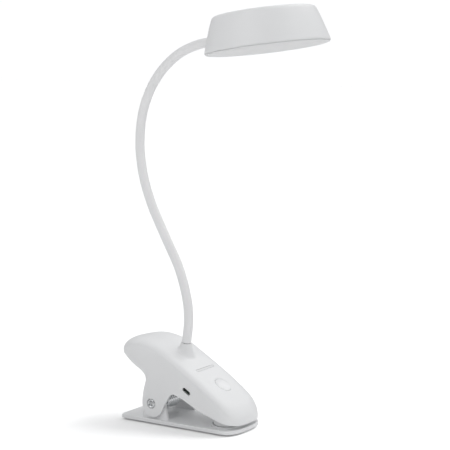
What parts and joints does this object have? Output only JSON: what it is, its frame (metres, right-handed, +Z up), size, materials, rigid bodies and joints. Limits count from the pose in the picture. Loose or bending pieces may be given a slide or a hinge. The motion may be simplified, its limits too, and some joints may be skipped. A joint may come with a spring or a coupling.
{
  "type": "clip on reading lamp",
  "caption": "Reading lamp on a spring clamp: battery housing as upper jaw, flexible neck, round LED head with opal diffuser.",
  "frame": {"origin": "centre of the clamp base's underside", "axes": "+Z up, +X towards the clamp's nose and the lamp head, +Y to the lamp's left side"},
  "size_m": [0.1904, 0.102, 0.3528],
  "materials": {
    "white_plastic": "fine satin moulded ABS",
    "button_plastic": "satin, slightly glossier cap",
    "neck_silicone": "matt white silicone sleeve",
    "grip_silicone": "matt pale grey silicone",
    "polished_steel": "polished stainless steel",
    "spring_steel": "nickel plated spring wire",
    "zinc_steel": "zinc plated",
    "socket_steel": "tinned sheet steel",
    "aluminium": "mill finish",
    "opal_plastic": "opal, fine matt",
    "green_board": "solder mask",
    "white_board": "white solder mask",
    "led_phosphor": "phosphor gel",
    "black_plastic": "moulded",
    "battery_wrap": "shrink wrap"
  },
  "bodies": {
    "base": {"base_frame": "white_plastic", "base_inlay": "polished_steel", "lower_grip_pad": "grip_silicone", "pivot_pin": "polished_steel", "torsion_spring": "spring_steel"},
    "upper_jaw": {"top_shell": "white_plastic", "bottom_cover": "white_plastic", "upper_grip_pad": "grip_silicone", "cover_screw_left": "zinc_steel", "cover_screw_right": "zinc_steel", "neck_ferrule": "zinc_steel", "neck_lock_nut": "zinc_steel", "battery_cell": "battery_wrap", "circuit_board": "green_board", "charging_socket": "socket_steel", "switch_body": "black_plastic", "charge_indicator": "opal_plastic", "neck_sleeve_1": "neck_silicone", "neck_core_1": "zinc_steel"},
    "button": {"power_button": "button_plastic", "switch_plunger": "black_plastic"},
    "neck_2": {"neck_sleeve_2": "neck_silicone", "neck_core_2": "zinc_steel"},
    "neck_3": {"neck_sleeve_3": "neck_silicone", "neck_core_3": "zinc_steel"},
    "neck_4": {"neck_sleeve_4": "neck_silicone", "neck_core_4": "zinc_steel"},
    "neck_5": {"neck_sleeve_5": "neck_silicone", "neck_core_5": "zinc_steel"},
    "neck_6": {"neck_sleeve_6": "neck_silicone", "neck_core_6": "zinc_steel"},
    "neck_7": {"neck_sleeve_7": "neck_silicone", "neck_core_7": "zinc_steel"},
    "neck_8": {"neck_sleeve_8": "neck_silicone", "neck_core_8": "zinc_steel"},
    "head": {"neck_sleeve_9": "neck_silicone", "neck_core_9": "zinc_steel", "head_housing": "white_plastic", "neck_clamp": "aluminium", "heat_sink": "aluminium", "led_board": "white_board", "diffuser": "opal_plastic", "head_screw_1": "zinc_steel", "head_screw_2": "zinc_steel", "head_screw_3": "zinc_steel", "led_1": "led_phosphor", "led_2": "led_phosphor", "led_3": "led_phosphor", "led_4": "led_phosphor", "led_5": "led_phosphor", "led_6": "led_phosphor"}
  },
  "joints": [
    {"name": "clip_hinge", "type": "hinge", "parent": "base", "child": "upper_jaw", "pos_m": [-0.0255, 0, 0.0178], "axis": [0, -1, 0], "range_deg": [0, 30], "stiffness_Nm_per_rad": 1.2, "springref_deg": -48.7, "deforming": ["torsion_spring"]},
    {"name": "button_press", "type": "slide", "parent": "upper_jaw", "child": "button", "axis": [-0.5299, 0, -0.848], "range_m": [0, 0.0006], "stiffness_N_per_m": 1500, "springref_m": -0.0006},
    {"name": "neck_bend_1", "type": "hinge", "parent": "upper_jaw", "child": "neck_2", "pos_m": [-0.00334, 0, 0.08836], "axis": [0, 1, 0], "range_deg": [-25, 25]},
    {"name": "neck_sway_2", "type": "hinge", "parent": "neck_2", "child": "neck_3", "pos_m": [-0.00967, 0, 0.12379], "axis": [0.9445, 0, 0.3284], "range_deg": [-25, 25]},
    {"name": "neck_bend_3", "type": "hinge", "parent": "neck_3", "child": "neck_4", "pos_m": [-0.02585, 0, 0.1561], "axis": [0, 1, 0], "range_deg": [-25, 25]},
    {"name": "neck_sway_4", "type": "hinge", "parent": "neck_4", "child": "neck_5", "pos_m": [-0.04236, 0, 0.1883], "axis": [0.9243, 0, 0.3816], "range_deg": [-25, 25]},
    {"name": "neck_bend_5", "type": "hinge", "parent": "neck_5", "child": "neck_6", "pos_m": [-0.05202, 0, 0.22307], "axis": [0, 1, 0], "range_deg": [-25, 25]},
    {"name": "neck_sway_6", "type": "hinge", "parent": "neck_6", "child": "neck_7", "pos_m": [-0.0507, 0, 0.25908], "axis": [0.9784, 0, -0.2066], "range_deg": [-25, 25]},
    {"name": "neck_bend_7", "type": "hinge", "parent": "neck_7", "child": "neck_8", "pos_m": [-0.03588, 0, 0.29182], "axis": [0, 1, 0], "range_deg": [-25, 25]},
    {"name": "neck_sway_8", "type": "hinge", "parent": "neck_8", "child": "head", "pos_m": [-0.00853, 0, 0.31506], "axis": [0.4378, 0, -0.8991], "range_deg": [-25, 25]}
  ]
}
